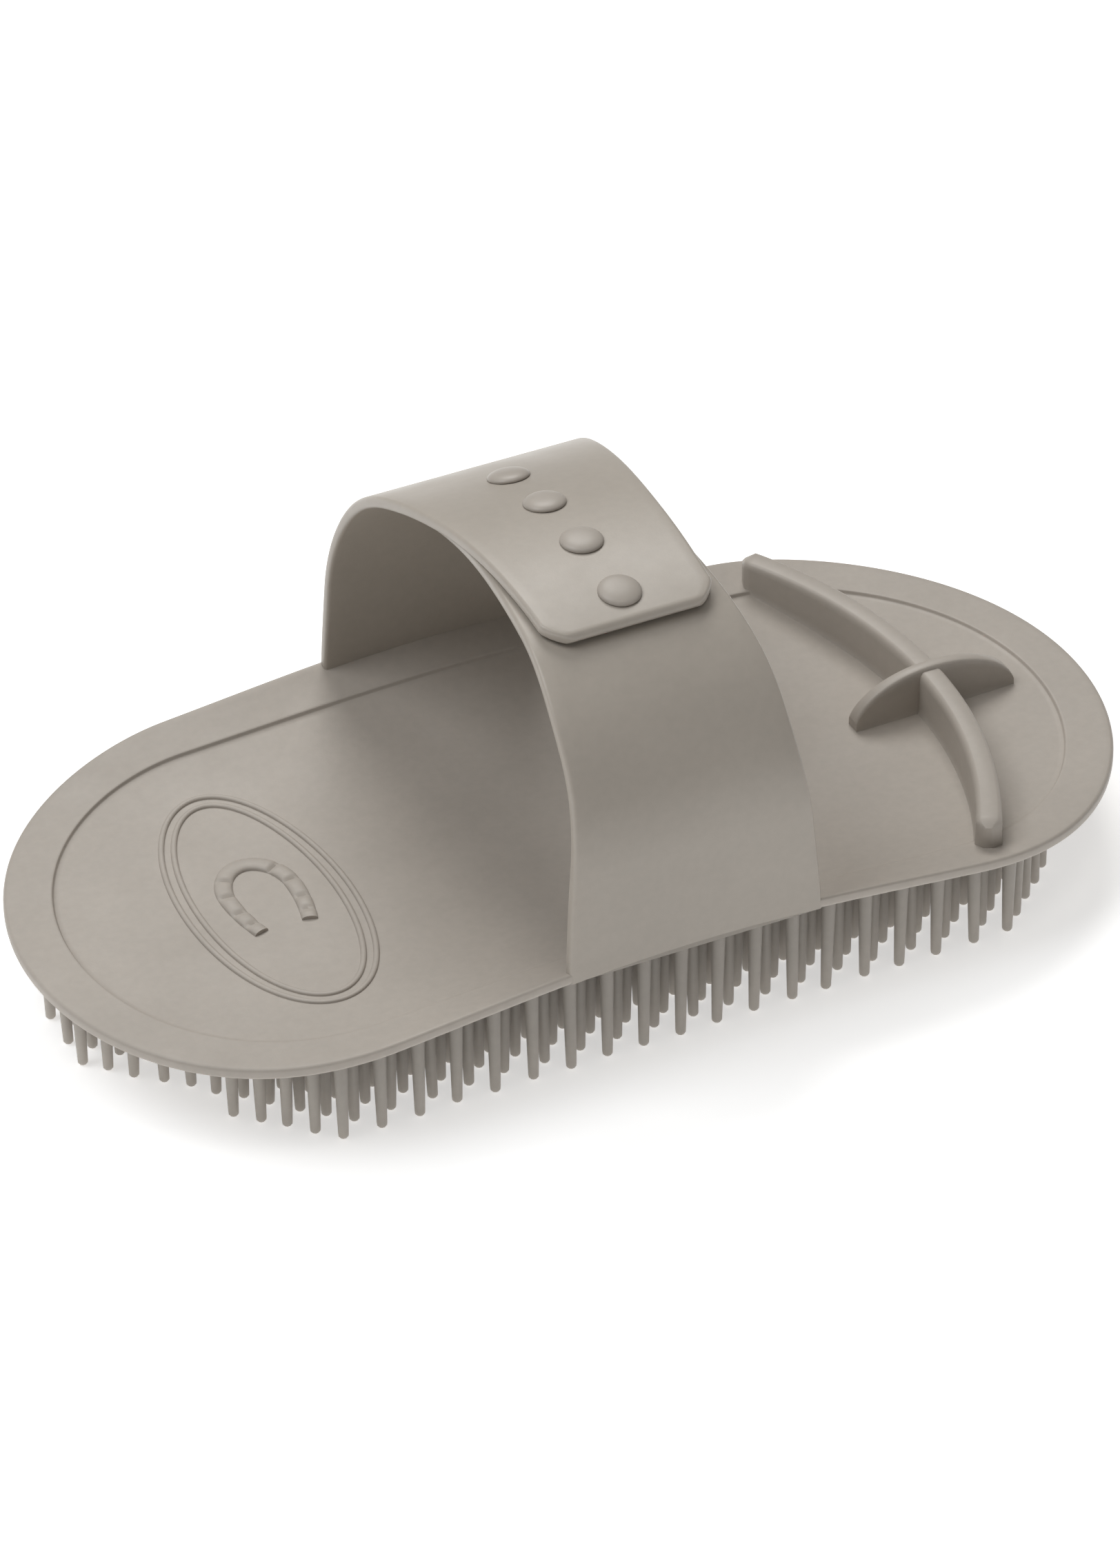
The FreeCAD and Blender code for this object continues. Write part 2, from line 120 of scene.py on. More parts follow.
# %%
def ring_faces(rings, around):
    """Four-sided faces between neighbouring closed rings."""
    ring = np.arange(rings - 1)[:, None] * around
    here = np.arange(around)[None, :]
    after = (here + 1) % around
    corners = (ring + here, ring + after, ring + around + after, ring + around + here)
    return np.stack(corners, -1).reshape(-1, 4)


SHARP = math.radians(50)           # a steeper fold than this stays crisp


def build(name, points, faces, caps=()):
    """A smooth-shaded mesh object with its faces turned outwards.

    Points that fall together, as at the deck's middle line, are merged first, because the
    direction of a face is only clear on a closed surface.
    """
    mesh = bpy.data.meshes.new(name)
    sides = [face.tolist() for face in faces] + [list(cap) for cap in caps]
    mesh.from_pydata(points.reshape(-1, 3).tolist(), [], sides)
    mesh.validate()
    piece = bpy.data.objects.new(name, mesh)
    bpy.context.collection.objects.link(piece)
    bpy.context.view_layer.objects.active = piece
    bpy.ops.object.select_all(action="DESELECT")
    piece.select_set(True)
    bpy.ops.object.mode_set(mode="EDIT")
    bpy.ops.mesh.select_all(action="SELECT")
    bpy.ops.mesh.remove_doubles(threshold=1e-6)
    bpy.ops.mesh.normals_make_consistent(inside=False)
    bpy.ops.object.mode_set(mode="OBJECT")
    mesh.polygons.foreach_set("use_smooth", np.ones(len(mesh.polygons), bool))
    mesh.set_sharp_from_angle(angle=SHARP)
    return piece


def loft(name, rings):
    """A closed tube through an array of rings (ring, point, xyz), capped at both ends."""
    count, around = rings.shape[:2]
    first = range(around)
    last = range((count - 1) * around, count * around)
    return build(name, rings, ring_faces(count, around), [first, last])


# %% [markdown]
# ## Plastic
#
# The comb is one soft plastic, slightly translucent, with a satin skin from a spark-eroded
# mould. A single flat colour would look like a computer drawing, and an image texture would
# need unwrapping. Noise in object space needs neither: the colour wanders a little over the
# surface, the roughness with it, a very fine grain breaks up the highlights, and broad, low
# waves make them as uneven as on a real moulding. Between the teeth the colour is darkened as
# painted shade, where little light reaches, and a stored number says how deep a point lies.


# %%
def plastic(name, colour, roughness=0.46, mottle=0.05, grain=0.10, painted_shade=0.0):
    """A satin moulded plastic; its last argument darkens, as painted shade, the points whose
    attribute 'depth' is high.
    """
    material = bpy.data.materials.new(name)
    material.use_nodes = True
    nodes, links = material.node_tree.nodes, material.node_tree.links
    shader = nodes["Principled BSDF"]
    shader.inputs["IOR"].default_value = 1.47
    shader.inputs["Subsurface Weight"].default_value = 0.06
    shader.inputs["Subsurface Radius"].default_value = (0.004, 0.003, 0.0025)
    shader.inputs["Subsurface Scale"].default_value = 0.6

    place = nodes.new("ShaderNodeTexCoord")

    def noise(scale, detail):
        node = nodes.new("ShaderNodeTexNoise")
        node.inputs["Scale"].default_value = scale
        node.inputs["Detail"].default_value = detail
        links.new(place.outputs["Object"], node.inputs["Vector"])
        return node.outputs["Fac"]

    def remap(value, low, high):
        node = nodes.new("ShaderNodeMapRange")
        node.inputs["From Min"].default_value = 0.3
        node.inputs["From Max"].default_value = 0.7
        node.inputs["To Min"].default_value = low
        node.inputs["To Max"].default_value = high
        links.new(value, node.inputs["Value"])
        return node.outputs["Result"]

    def shade(value):
        node = nodes.new("ShaderNodeVectorMath")
        node.operation = "SCALE"
        links.new(value, node.inputs["Scale"])
        return node

    broad = remap(noise(28, 3), 1 - mottle, 1 + mottle)
    flecks = remap(noise(620, 2), 1 - mottle * 0.5, 1 + mottle * 0.5)
    broad_shade = shade(broad)
    broad_shade.inputs[0].default_value = colour
    fleck_shade = shade(flecks)
    links.new(broad_shade.outputs["Vector"], fleck_shade.inputs[0])
    colour_out = fleck_shade.outputs["Vector"]
    # painted shade: the colour is darkened where 'depth' is high, towards the deck among the
    # teeth
    if painted_shade:
        depth = nodes.new("ShaderNodeAttribute")
        depth.attribute_name = "depth"
        darken = nodes.new("ShaderNodeMapRange")
        darken.inputs["To Min"].default_value = 1.0
        darken.inputs["To Max"].default_value = 1.0 - painted_shade
        links.new(depth.outputs["Fac"], darken.inputs["Value"])
        deep_shade = shade(darken.outputs["Result"])
        links.new(colour_out, deep_shade.inputs[0])
        colour_out = deep_shade.outputs["Vector"]
    links.new(colour_out, shader.inputs["Base Color"])
    links.new(remap(noise(75, 4), roughness - 0.05, roughness + 0.06), shader.inputs["Roughness"])

    fine = nodes.new("ShaderNodeBump")
    fine.inputs["Strength"].default_value = grain
    fine.inputs["Distance"].default_value = 0.00012
    links.new(noise(2600, 3), fine.inputs["Height"])
    waves = nodes.new("ShaderNodeBump")
    waves.inputs["Strength"].default_value = 0.18
    waves.inputs["Distance"].default_value = 0.0012
    links.new(noise(38, 1), waves.inputs["Height"])
    links.new(fine.outputs["Normal"], waves.inputs["Normal"])
    links.new(waves.outputs["Normal"], shader.inputs["Normal"])
    return material


GREIGE = (0.430, 0.390, 0.345)     # a grey with some beige in it
deck_plastic = plastic("deck_plastic", GREIGE, roughness=0.50)
strap_plastic = plastic("strap_plastic", (0.425, 0.385, 0.336), roughness=0.36, mottle=0.04)
peg_plastic = plastic("peg_plastic", GREIGE, roughness=0.40, mottle=0.03)
rib_plastic = plastic("rib_plastic", GREIGE, roughness=0.44, mottle=0.04)
# the teeth are the deck's plastic; their colour is set lighter than GREIGE as painted light, for
# the light that reaches them from below
tooth_plastic = plastic("tooth_plastic", (0.50, 0.46, 0.41), roughness=0.5, painted_shade=0.42)


# %% [markdown]
# Every piece is finished in the same way, so one helper does it: it gives the piece its
# material, hangs it on the body that it follows and hides the CAD nodes that it stands for.


# %%
def dress(piece, material, body, *nodes):
    """Gives the piece its material, hangs it on the body that it follows and hides the CAD nodes
    that it stands for.
    """
    piece.data.materials.clear()
    piece.data.materials.append(material)
    if body:
        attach(piece, body)
    if nodes:
        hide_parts(*nodes)
    return piece


# %% [markdown]
# ## Deck
#
# The deck is a thin sheet with a rim round a slightly sunken panel, and the strap has pulled
# its long edges up. A flat plate with a bevel and a bend modifier comes close, but the step
# to the panel would then need a second piece. Here the plan has two straight sides and two
# half-oval ends, and each ring of the mesh is the same outline moved in by some distance, at
# some level in the sheet. The profile lists those pairs: along the underside, round
# the outer edge, over the rim, down the soft step to the panel and on to the middle line.
# The curl then lifts every point.


# %%
def deck_outline(inset, around=480):
    """Points around the deck's plan, moved in by inset: straight sides, half-oval ends."""
    straight = HALF_LENGTH - END_REACH
    bend = np.linspace(-math.pi / 2, math.pi / 2, around // 3, endpoint=False)
    side = np.linspace(1, -1, around // 2 - around // 3, endpoint=False)
    reach = max(END_REACH - inset, 0.0)
    across = HALF_WIDTH - inset
    end = np.stack([straight + reach * np.cos(bend), across * np.sin(bend)], -1)
    edge = np.stack([straight * side, np.full_like(side, across)], -1)
    half = np.concatenate([end, edge])
    return np.concatenate([half, -half])


def eased(start, end, steps):
    """Pairs that go from one (inset, level) to another with a soft start and end."""
    share = np.linspace(0, 1, steps)
    level = share * share * (3 - 2 * share)
    return [(start[0] + (end[0] - start[0]) * s, start[1] + (end[1] - start[1]) * f)
            for s, f in zip(share, level)]


def edge_round(radius, steps=5):
    """The deck's outer edge: rounded at its lower and upper corner."""
    angles = np.linspace(0, math.pi / 2, steps)
    low = [(radius * (1 - math.sin(a)), radius * (1 - math.cos(a))) for a in angles]
    high = [(inset, DECK_THICK - level) for inset, level in reversed(low)]
    return low + high


EDGE_ROUND = 0.7 * MM
STEP_OUTER, STEP_INNER = 0.15 * MM, 0.25 * MM    # the step's two sides, from the rim's width
RIM_START, RIM_STOP = 1.6 * MM, 0.5 * MM         # the rim's rings: from the edge, to the step
PANEL_START = 1.2 * MM                           # first ring of the panel past the step
UNDER_STOP = 3 * MM                              # last ring of the underside, from the edge


def make_deck():
    """Rings of the plan's outline at each (inset, level) of the profile, then curled."""
    middle = HALF_WIDTH
    under = [(inset, 0) for inset in np.linspace(middle, UNDER_STOP, 14)]
    rim = [(inset, DECK_THICK) for inset in np.linspace(RIM_START, RIM_WIDTH - RIM_STOP, 8)]
    step = eased((RIM_WIDTH - STEP_OUTER, DECK_THICK),
                 (RIM_WIDTH + STEP_INNER, DECK_THICK - PANEL_DROP), 6)
    panel = [(inset, DECK_THICK - PANEL_DROP)
             for inset in np.linspace(RIM_WIDTH + PANEL_START, middle, 18)]
    profile = under + edge_round(EDGE_ROUND) + rim + step + panel
    rings = []
    for inset, level in profile:
        plan = deck_outline(inset)
        z = DECK_BOTTOM + level + lift(plan[:, 0], plan[:, 1])
        rings.append(np.column_stack([plan, z]))
    rings = np.array(rings)
    deck = build("deck_shell", rings, ring_faces(*rings.shape[:2]))
    return dress(deck, deck_plastic, "comb", "deck")


deck = make_deck()
print("deck faces:", len(deck.data.polygons))

# %% [markdown]
# ## Strap
#
# The hand strap is two strips of the same plastic, bent from the deck's long edges over the
# hand. A flat plane with a curve modifier would also bend, but its width and its ends would
# be hard to hold. Here each strip follows a path of straight lines and arcs in the plane
# across the deck. The path is sampled evenly, and at each sample a rounded section, as wide
# as the strap is there, stands across it.


# %%
class Path:
    """A side view (y, z) made of points, with the length along it and the direction across."""

    def __init__(self, points, spacing=0.5 * MM):
        points = np.array(points)
        leg = np.linalg.norm(np.diff(points, axis=0), axis=1)
        points = points[np.concatenate([[True], leg > 1e-9])]
        leg = np.linalg.norm(np.diff(points, axis=0), axis=1)
        reach = np.concatenate([[0], np.cumsum(leg)])
        self.length = reach[-1]
        self.reach = np.linspace(0, self.length, int(self.length / spacing))
        self.place = np.stack([np.interp(self.reach, reach, points[:, k]) for k in (0, 1)], -1)
        tangent = np.gradient(self.place, axis=0)
        tangent /= np.linalg.norm(tangent, axis=1)[:, None]
        self.tangent = tangent


FOOT_RISE = 4 * MM                 # where the walls start, above the deck's middle
FOOT_OUT = 0.1 * MM                # the walls stand this far outside the deck's edge


def arc_points(centre, radius, start, end, steps=60):
    """Points of a circle's arc between two angles."""
    angle = np.linspace(start, end, steps)
    return [(centre[0] + radius * math.cos(a), centre[1] + radius * math.sin(a))
            for a in angle]


def shoulder(side, lean, radius, crown_radius):
    """Where a wall at an angle meets the crown through an arc: its centre and two angles."""
    foot = np.array([side * (HALF_WIDTH + FOOT_OUT), DECK_TOP + FOOT_RISE])
    along = np.array([-side * math.sin(lean), math.cos(lean)])
    inward = np.array([-side * math.cos(lean), -math.sin(lean)])
    start = foot + inward * radius
    offset = start - np.array([CROWN_Y, CROWN_Z])
    reach = offset @ along
    climb = -reach + math.sqrt(reach ** 2 - offset @ offset + (crown_radius - radius) ** 2)
    centre = start + along * climb
    begin = math.atan2(-inward[1], -inward[0]) % (2 * math.pi)
    leave = math.atan2(centre[1] - CROWN_Z, centre[0] - CROWN_Y)
    return foot, centre, begin, leave


def strap_path(side, lean, radius, crown_radius, stop_y):
    """The outer face of one half: a straight wall, its shoulder's arc and the crown's arc."""
    foot, centre, begin, leave = shoulder(side, lean, radius, crown_radius)
    end = math.acos((stop_y - CROWN_Y) / crown_radius)
    points = [tuple(foot)] + arc_points(centre, radius, begin, leave)
    points += arc_points((CROWN_Y, CROWN_Z), crown_radius, leave, end)
    return Path(points)


# %% [markdown]
# The section across the path is a rounded rectangle. A free end would be a flat cut, so the
# last samples grow thinner until it closes in a soft edge. The walls' feet are stretched
# down to the deck's curled underside, so that the strap and the deck look like one moulding.


# %%
def rounded_section(half_wide, half_high, radius, flat_steps=18, corner_steps=4):
    """Points of a rounded rectangle: four quarter circles joined by straight lines."""
    quarter = np.linspace(0, math.pi / 2, corner_steps + 1)
    points = []
    for turn, (side, level) in enumerate(((1, 1), (-1, 1), (-1, -1), (1, -1))):
        angle = quarter + turn * math.pi / 2
        middle = np.array([side * (half_wide - radius), level * (half_high - radius)])
        arc = middle + radius * np.stack([np.cos(angle), np.sin(angle)], -1)
        points.append(arc)
        if turn in (0, 2):
            far_end = arc[-1] - [2 * side * (half_wide - radius), 0]
            across = np.linspace(arc[-1], far_end, flat_steps + 1)
            points.append(across[1:-1])
    return np.concatenate(points)


STRAP_CORNER = 0.75 * MM           # rounding of the strap's long edges
SOFT_END = 0.9 * MM                # over this length a free end closes in
THINNEST = 0.02                    # the square of its last share of the thickness
STRETCH_TOP = 22 * MM              # below this the walls are stretched to meet the deck
FOOT_CLEAR = 0.02 * MM             # the feet end this far above the deck's underside


def strap_half(name, path, half_width, side):
    """Rings across a path; half_width gives the half width at each sample.

    Each ring is the rounded section, at depths measured inwards from the outer face.
    """
    half_thick = STRAP_THICK / 2
    # one section of a fixed half width, whose corners are kept while its flats are stretched
    unit_half = 10 * MM
    unit = rounded_section(unit_half, half_thick, STRAP_CORNER)
    overhang = np.abs(unit[:, 0]) - unit_half
    edge_x = np.sign(unit[:, 0]) * np.maximum(half_width[:, None] + overhang[None, :], 0)
    flat = np.abs(overhang) > STRAP_CORNER
    share = unit[:, 0] / (unit_half - STRAP_CORNER)
    flat_x = (half_width[:, None] - STRAP_CORNER) * share[None, :]
    x = np.where(flat[None, :], flat_x, edge_x)
    depth = half_thick - unit[:, 1]
    # a soft end: the last samples grow thinner towards the sheet's middle
    left = path.length - path.reach
    close = np.clip(1 - left / SOFT_END, 0, 1)
    thin = np.sqrt(np.clip(1 - close ** 2, THINNEST, 1))
    depth = half_thick + (depth[None, :] - half_thick) * thin[:, None]
    across = np.stack([path.tangent[:, 1], -path.tangent[:, 0]], -1) * (-side)
    y = path.place[:, 0, None] + across[:, 0, None] * depth
    z = path.place[:, 1, None] + across[:, 1, None] * depth
    # the foot follows the deck's underside, so that it ends flush with it
    low = DECK_BOTTOM + lift(x, np.full_like(x, HALF_WIDTH)) + FOOT_CLEAR
    top = DECK_TOP + STRETCH_TOP
    start = DECK_TOP + FOOT_RISE
    share = np.clip((z - start) / (top - start), 0, 1)
    z = np.where(z < top, low + (top - low) * share, z)
    return loft(name, np.stack([x, y, z], -1))


# %% [markdown]
# The strap narrows from the deck to its neck and again towards the middle. Two tables give
# the half width, one up the walls and one over the top. The lesser of the two holds, and a
# moving average takes the kinks out of the side edges.


# %%
SMOOTHING = 32                     # samples on each side that soften the strap's side edges


def width_along(path, side, by_level, by_place):
    """Half widths along a path, in metres: the lesser of what its level and its place give."""
    level = np.interp(path.place[:, 1] / MM, *zip(*by_level))
    place = np.interp(side * path.place[:, 0] / MM, *zip(*by_place))
    least = np.minimum(level, place)
    window = np.hanning(2 * SMOOTHING + 1)
    padded = np.pad(least, SMOOTHING, mode="edge")
    return np.convolve(padded, window / window.sum(), mode="valid") * MM


# in mm: (level above the tips, half width) up the walls,
# and (place across the deck, half width) over the top
FAR_LEVELS = ((21.4, 24.5), (45, 23.4), (63.4, 21.7), (90, 21.7))
FAR_PLACES = ((-26, 16.2), (0, 17.6), (36, 21.7), (46, 25.5), (60, 40))
NEAR_LEVELS = ((21.4, 24.5), (45, 22.9), (60, 20.7), (90, 20.7))
NEAR_PLACES = ((-28, 16.4), (0, 16.9), (33, 19.2), (38, 20.7), (47, 25.5), (60, 40))
FAR_LEAN, FAR_SHOULDER = math.radians(3.3), 36 * MM
NEAR_LEAN, NEAR_SHOULDER = math.radians(2.4), 35 * MM

far_path = strap_path(1, FAR_LEAN, FAR_SHOULDER, CROWN_RADIUS, flap_low.y)
far_half = width_along(far_path, 1, FAR_LEVELS, FAR_PLACES)
# the tab's clipped corners, rounded where they meet its sides and its end
CORNER = 4.4 * MM
left = far_path.length - far_path.reach
clip = np.clip(1 - left / CORNER, 0, 1)
far_half = far_half - CORNER * (0.55 * clip ** 1.2 + 0.45 * (1 - np.sqrt(1 - clip ** 2)))

near_path = strap_path(-1, NEAR_LEAN, NEAR_SHOULDER, CROWN_RADIUS - STRAP_THICK - LAP_GAP,
                       leaf_high.y)
near_half = width_along(near_path, -1, NEAR_LEVELS, NEAR_PLACES)

far_strap = strap_half("strap_hole_half", far_path, far_half, 1)
near_strap = strap_half("strap_peg_half", near_path, near_half, -1)
print("lengths of the two halves, mm:",
      [round(path.length / MM) for path in (far_path, near_path)])

# %% [markdown]
# ### Holes and pegs
#
# Four pegs on one half stand through four holes in the other, as snap fasteners do. The
# holes could be painted on, but the strap can be opened, so they are cut as real holes. The
# pegs stand square to the strap: a shank from the peg half, and a low domed head
# that just covers its hole. Each shape is turned about an upright line, tipped to the
# strap's slope at its place and moved to the strap's outer face.


# %%
SHANK_RADIUS = 3.4 * MM
HOLE_RADIUS = 3.6 * MM
HEAD_RADIUS = 3.85 * MM            # a peg's head covers its hole
HEAD_RISE = 1.35 * MM


def peg_seat(number):
    """A peg's place on the strap's outer face, and how far the face slopes there."""
    low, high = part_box(f"peg_{number}")
    y = (low.y + high.y) / 2
    slope = math.asin((y - CROWN_Y) / CROWN_RADIUS)
    return y, CROWN_Z + CROWN_RADIUS * math.cos(slope), slope


def turned(name, seat, profile, around=40):
    """A solid of revolution from (radius, height) pairs, tipped and moved to its seat."""
    angle = np.linspace(0, 2 * math.pi, around, endpoint=False)
    radius = np.array([r for r, _ in profile])[:, None]
    height = np.array([h for _, h in profile])[:, None]
    place, level, slope = seat
    x = radius * np.cos(angle)
    side = radius * np.sin(angle)
    y = place + side * math.cos(slope) + height * math.sin(slope)
    z = level - side * math.sin(slope) + height * math.cos(slope)
    return loft(name, np.stack([x, y, z], -1))


def cut_holes(strap):
    """Cuts the four holes, square to the strap, with one turned cutter each."""
    reach = 6 * MM
    for number in range(1, 5):
        profile = [(HOLE_RADIUS, -reach), (HOLE_RADIUS, reach)]
        cutter = turned(f"hole_cutter_{number}", peg_seat(number), profile, 48)
        cut = strap.modifiers.new("hole", "BOOLEAN")
        cut.object = cutter
        cut.operation = "DIFFERENCE"
        cut.solver = "EXACT"
        bpy.context.view_layer.objects.active = strap
        bpy.ops.object.modifier_apply(modifier=cut.name)
        bpy.data.objects.remove(cutter)
    strap.data.polygons.foreach_set("use_smooth", np.ones(len(strap.data.polygons), bool))
    strap.data.set_sharp_from_angle(angle=SHARP)


# %% [markdown]
# The hole half crosses the joint, so it is hung on no body: it is left unattached, with its
# placement baked into its mesh.

# %%
cut_holes(far_strap)
dress(near_strap, strap_plastic, "comb", "near_wall", "near_leaf")
dress(far_strap, strap_plastic, None, "far_wall", "hole_flap")
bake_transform(far_strap)


PEG_ROOT = 0.9 * MM                # a shank runs this far into the peg half
HEAD_CLEAR = 0.03 * MM             # the head sits this far off the hole half
HEAD_SKIRT = 0.18 * MM             # level of the head's widest ring
HEAD_EDGE = 0.1 * MM               # rounding under that ring
HEAD_TIP = 0.05 * MM               # radius of the small ring that closes the top
DOME_FULLNESS = 0.8                # below 1 the dome is fuller than an ellipse


def make_peg(number):
    """A shank that starts inside the peg half, and a domed head with a soft lower edge."""
    root = -(STRAP_THICK + LAP_GAP + PEG_ROOT)
    share = np.linspace(0, 1, 10)[1:-1]
    dome = [(HEAD_RADIUS * math.cos(s * math.pi / 2) ** DOME_FULLNESS,
             HEAD_SKIRT + (HEAD_RISE - HEAD_SKIRT) * math.sin(s * math.pi / 2))
            for s in share]
    profile = [(SHANK_RADIUS, root), (SHANK_RADIUS, HEAD_CLEAR),
               (HEAD_RADIUS - HEAD_EDGE, HEAD_CLEAR), (HEAD_RADIUS, HEAD_SKIRT)]
    profile += dome + [(HEAD_TIP, HEAD_RISE)]
    peg = turned(f"peg_head_{number}", peg_seat(number), profile)
    return dress(peg, peg_plastic, "comb", f"peg_{number}")


pegs = [make_peg(number) for number in range(1, 5)]
print("pegs:", [peg.name for peg in pegs])

# %% [markdown]
# ## Ribs
#
# Two crossed ribs stiffen one end of the deck. Two cubes with a bevel would stand on it like
# loose blocks, while moulded ribs have rounded tops and a small fillet where they meet the
# panel. So one section with both is carried along a line of the plan: an arc for the curved
# rib, and a straight line under an arched top for the short one. Both run a little into the
# panel.


# %%
RIB_RADIUS = 91.5 * MM             # of the arc that the curved rib follows
RIB_PLACE = 73 * MM                # where the ribs cross, from the deck's middle
RIB_THICK = 4.8 * MM
RIB_TOP = DECK_TOP + 8.5 * MM
RIB_END_CLEAR = 0.6 * MM           # the looks stop this far inside the CAD rib's ends
RIB_SOFT_END = 1.6 * MM            # over this length each end rounds off
RIB_END_DROP = 0.9 * MM            # and its top comes down by this much
RIB_TOP_CLEAR = 0.1 * MM
SPUR_SHIFT = 1 * MM                # the short rib's middle, past the crossing
SPUR_HALF = 16.5 * MM
SPUR_RISE = 9.3 * MM
SPUR_THICK = 3 * MM
SPUR_TOP_CLEAR = 0.15 * MM
SPUR_SHARE = 0.985                 # share of its length that the arch is drawn over


def bar_section(steps=5):
    """The outline of an upright bar as (side, up) shares; the flare at its foot is a fillet."""
    bend = np.linspace(0, math.pi / 2, steps)
    right = [(1.30, 0.0), (1.12, 0.06), (1.03, 0.14), (1.0, 0.24), (0.97, 0.80)]
    crown = [(0.97 - 0.42 * (1 - math.cos(a)), 0.80 + 0.20 * math.sin(a)) for a in bend[1:]]
    right = right + crown
    left = [(-side, up) for side, up in reversed(right)]
    return np.array(right + left)


def bar(name, centre, normal, top, thick, sink=0.5 * MM):
    """A bar along points of the plan; normal is across it, top its height at each point."""
    section = bar_section()
    x = centre[:, 0, None] + normal[:, 0, None] * section[:, 0] * thick[:, None] / 2
    y = centre[:, 1, None] + normal[:, 1, None] * section[:, 0] * thick[:, None] / 2
    floor = PANEL_TOP + lift(x, y) - sink
    z = floor + (top[:, None] - floor) * section[:, 1]
    return loft(name, np.stack([x, y, z], -1))


def make_curved_rib():
    """A bar along an arc of the plan, with thinner and slightly lower ends."""
    _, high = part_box("rib_curved")
    swing = math.asin((high.y - RIB_END_CLEAR) / RIB_RADIUS)
    angle = np.linspace(-swing, swing, 70)
    outward = np.stack([np.cos(angle), np.sin(angle)], -1)
    centre = outward * RIB_RADIUS + np.array([RIB_PLACE - RIB_RADIUS, 0])
    left = (swing - np.abs(angle)) * RIB_RADIUS
    close = np.clip(1 - left / RIB_SOFT_END, 0, 1)
    thick = RIB_THICK * (0.35 + 0.65 * np.sqrt(1 - close ** 2))
    top = RIB_TOP - RIB_END_DROP * close ** 2 - RIB_TOP_CLEAR
    rib = bar("rib_long", centre, outward, top, thick)
    return dress(rib, rib_plastic, "comb", "rib_curved")


def make_short_rib():
    """A bar along X whose top is half an ellipse; samples bunch up towards its ends."""
    share = np.sin(np.linspace(-math.pi / 2, math.pi / 2, 60)) * SPUR_SHARE
    x = RIB_PLACE + SPUR_SHIFT + SPUR_HALF * share
    centre = np.stack([x, np.zeros_like(x)], -1)
    across = np.tile([0.0, 1.0], (len(x), 1))
    top = DECK_TOP + SPUR_RISE * np.sqrt(1 - share ** 2) - SPUR_TOP_CLEAR
    thick = np.full(len(x), SPUR_THICK)
    rib = bar("rib_short", centre, across, top, thick)
    return dress(rib, rib_plastic, "comb", "rib_spur_inner", "rib_spur_outer")


ribs = [make_curved_rib(), make_short_rib()]
print("ribs:", [rib.name for rib in ribs])

# %% [markdown]
# ## Raised mark
#
# A raised decoration sits on the panel: a plain oval of two close lines with a horseshoe in
# it. A bump map could fake relief this low, but it would be lost from the model's shape and
# flat when it is seen along the panel. Here each line is a low, soft-edged strip of mesh. The
# horseshoe is a wide band along half an oval that runs on into two nearly straight legs, and
# it dips at each nail.


# %%
MARK_X = -58 * MM                  # the mark's middle, along the deck
MARK_SHORT = 15.5 * MM             # half sizes of the oval
MARK_LONG = 33 * MM
LINE_HEIGHT = 0.5 * MM
LINE_SINK = 0.3 * MM               # the lines run this far into the panel
LINE_HALF = 0.55 * MM              # half width of an oval's line
LINE_PITCH = 2.4 * MM              # from one oval to the next
SHOE_PLACE = 3 * MM                # start of the bow, across the deck
SHOE_SHORT = 6.2 * MM              # half width of the bow, to the middle of the band
SHOE_LONG = 8.5 * MM
SHOE_LEG = 11 * MM
SHOE_CLOSE = 1.6 * MM              # how far each leg leans in
SHOE_HALF = 1.45 * MM              # half width of the band at its ends
SHOE_SWELL = 0.25 * MM             # and this much more in its middle
SHOE_RISE = 1.5                    # its height, in heights of a line
SHOE_NAILS = (5, 12, 21, 32, 65, 76, 85, 92)   # samples where the band dips at a nail
NAIL_DIP, NAIL_REACH = 1.1, 1.1    # depth of a dip in line heights, and its spread in samples


def raised_line(name, plan, half_wide, closed, rise=1.0):
    """A low, rounded line along points of the plan, following the panel's curl.

    rise scales its height, as one number or one at each point.
    """
    step = np.roll(plan, -1, 0) - np.roll(plan, 1, 0) if closed else np.gradient(plan, axis=0)
    step /= np.linalg.norm(step, axis=1)[:, None]
    across = np.stack([step[:, 1], -step[:, 0]], -1)
    angle = np.linspace(0, math.pi, 9)
    side = np.concatenate([np.cos(angle), [-1.0, 1.0]])
    level = np.concatenate([np.sin(angle) ** 0.7 * LINE_HEIGHT, [0, 0]])
    level = np.ones(len(plan))[:, None] * level * np.reshape(rise, (-1, 1))
    level[:, -2:] = -LINE_SINK
    x = plan[:, 0, None] + across[:, 0, None] * side * half_wide[:, None]
    y = plan[:, 1, None] + across[:, 1, None] * side * half_wide[:, None]
    z = PANEL_TOP + lift(x, y) + level
    rings = np.stack([x, y, z], -1)
    if closed:
        rings = np.concatenate([rings, rings[:1]])
        return build(name, rings, ring_faces(*rings.shape[:2]))
    return loft(name, rings)


